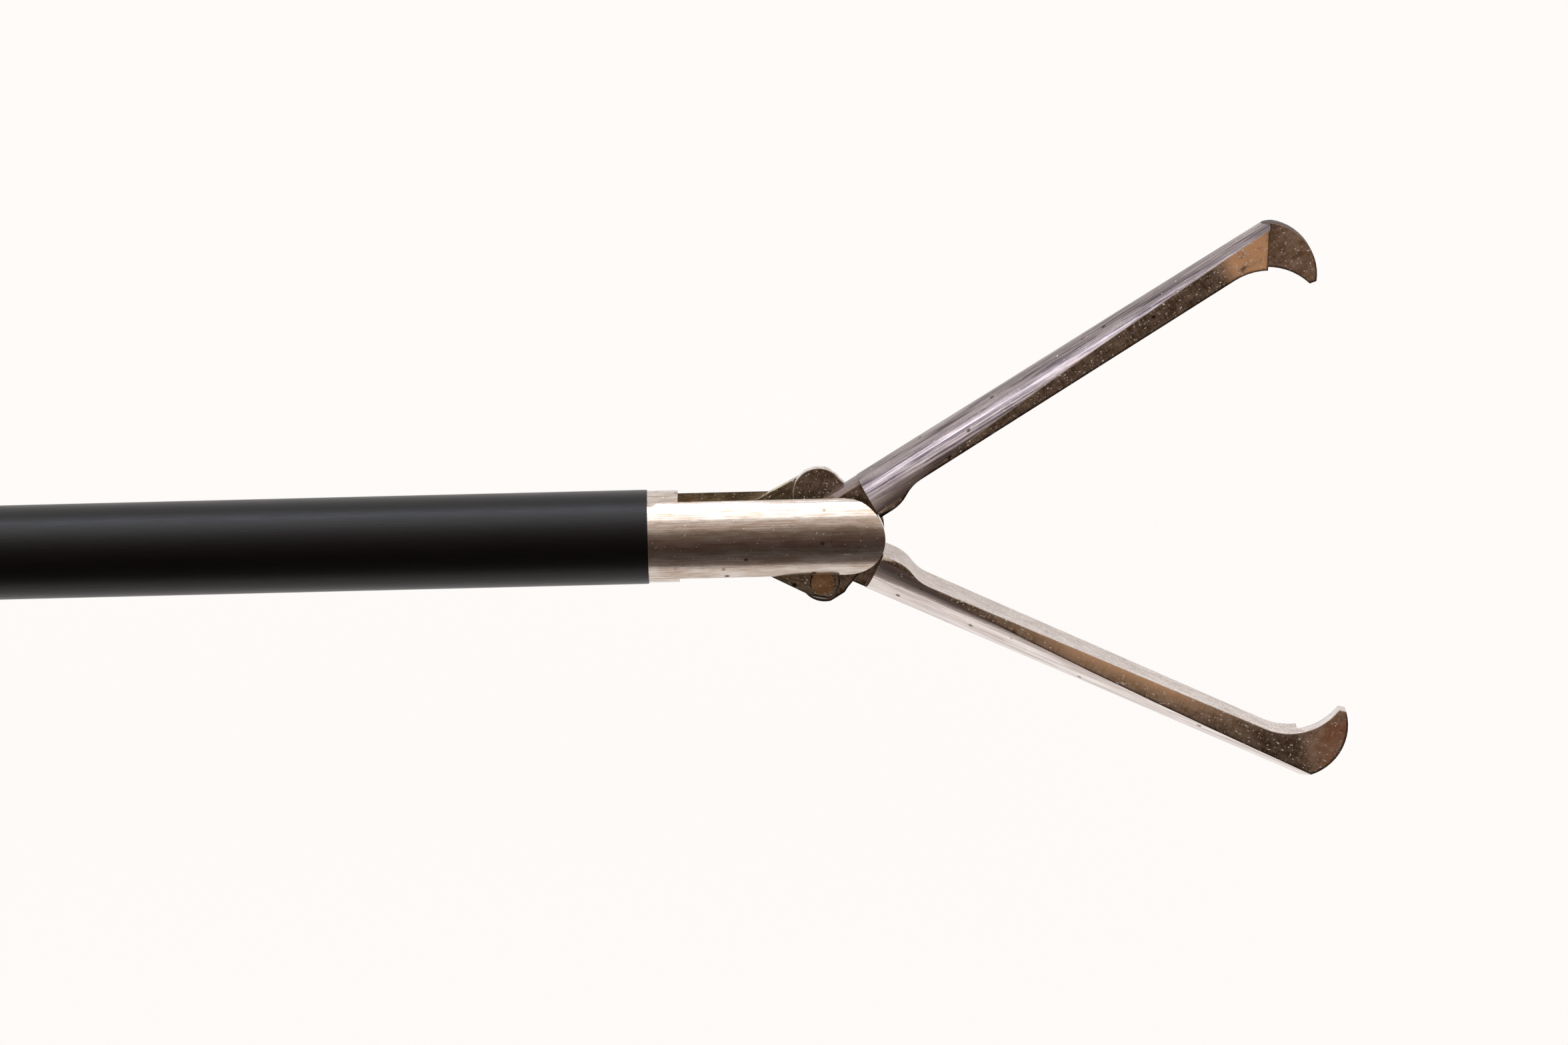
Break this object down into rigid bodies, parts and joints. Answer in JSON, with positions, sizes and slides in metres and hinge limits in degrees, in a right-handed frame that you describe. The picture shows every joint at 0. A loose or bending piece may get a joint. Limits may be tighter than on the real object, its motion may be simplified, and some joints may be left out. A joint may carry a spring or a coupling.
{
  "type": "laparoscopic grasper",
  "caption": "Slim surgical grasper: two open claw-tipped jaws on a steel yoke, pushed by a rod through a black insulated shaft from a ring handle with a ratchet.",
  "frame": {"origin": "on the shaft's axis at the distal end of the insulating sleeve", "axes": "+X along the shaft towards the jaws, +Z out of the side that the near link is on, -Y towards the finger rings"},
  "size_m": [0.4759, 0.105, 0.0214],
  "materials": {
    "black_sleeve": "satin",
    "steel": "brushed",
    "black_plastic": "matte",
    "seal_rubber": "matte"
  },
  "bodies": {
    "handle": {"near_shell": "black_plastic", "far_shell": "black_plastic", "shell_screws": "steel", "lever_pivot_pin": "steel", "trigger_pin": "steel", "current_post": "steel", "trigger_spring": "steel"},
    "shaft": {"insulation_sleeve": "black_sleeve", "outer_tube": "steel", "yoke": "steel", "jaw_pivot_pin": "steel", "rotation_knob": "black_plastic", "knob_set_screw": "steel", "swivel_collar": "steel", "rod_seal": "seal_rubber"},
    "rod": {"rod_tip": "steel", "rod_pin": "steel", "drive_rod": "steel", "rod_ball": "steel"},
    "near_link_set": {"near_link": "steel", "near_link_rivet": "steel"},
    "far_link_set": {"far_link": "steel", "far_link_rivet": "steel"},
    "upper_jaw_body": {"upper_jaw": "steel"},
    "lower_jaw_body": {"lower_jaw": "steel"},
    "lever": {"thumb_lever": "black_plastic", "ratchet_bar": "steel"},
    "trigger": {"release_trigger": "black_plastic"}
  },
  "joints": [
    {"name": "lever_swing", "type": "hinge", "parent": "handle", "child": "lever", "pos_m": [-0.384, -0.00505, 0], "axis": [0, 0, 1], "range_deg": [0, 15.5]},
    {"name": "shaft_turn", "type": "hinge", "parent": "handle", "child": "shaft", "pos_m": [-0.36, 0, 0], "axis": [1, 0, 0], "continuous": true},
    {"name": "rod_slide", "type": "slide", "parent": "shaft", "child": "rod", "axis": [1, 0, 0], "range_m": [-0.00138, 0]},
    {"name": "near_link_pivot", "type": "hinge", "parent": "rod", "child": "near_link_set", "pos_m": [0.00438, 0, 0], "axis": [0, 0, 1], "range_deg": [0, 10.4]},
    {"name": "far_link_pivot", "type": "hinge", "parent": "rod", "child": "far_link_set", "pos_m": [0.00438, 0, 0], "axis": [0, 0, 1], "range_deg": [-10.4, 0]},
    {"name": "upper_jaw_pivot", "type": "hinge", "parent": "shaft", "child": "upper_jaw_body", "pos_m": [0.0105, 0, 0], "axis": [0, 0, 1], "range_deg": [-31.01, 0]},
    {"name": "lower_jaw_pivot", "type": "hinge", "parent": "shaft", "child": "lower_jaw_body", "pos_m": [0.0105, 0, 0], "axis": [0, 0, 1], "range_deg": [0, 25.01]},
    {"name": "trigger_press", "type": "hinge", "parent": "handle", "child": "trigger", "pos_m": [-0.37, -0.03805, 0], "axis": [0, 0, 1], "range_deg": [0, 8], "stiffness_Nm_per_rad": 0.02, "springref_deg": -14.32}
  ],
  "couplings": [
    {"joint": "rod_slide", "follows": "lever_swing", "m_per_rad": -0.0050789},
    {"joint": "near_link_pivot", "follows": "lever_swing", "ratio": 0.67044},
    {"joint": "far_link_pivot", "follows": "lever_swing", "ratio": -0.67044},
    {"joint": "upper_jaw_pivot", "follows": "lever_swing", "ratio": -2},
    {"joint": "lower_jaw_pivot", "follows": "lever_swing", "ratio": 1.6129}
  ]
}
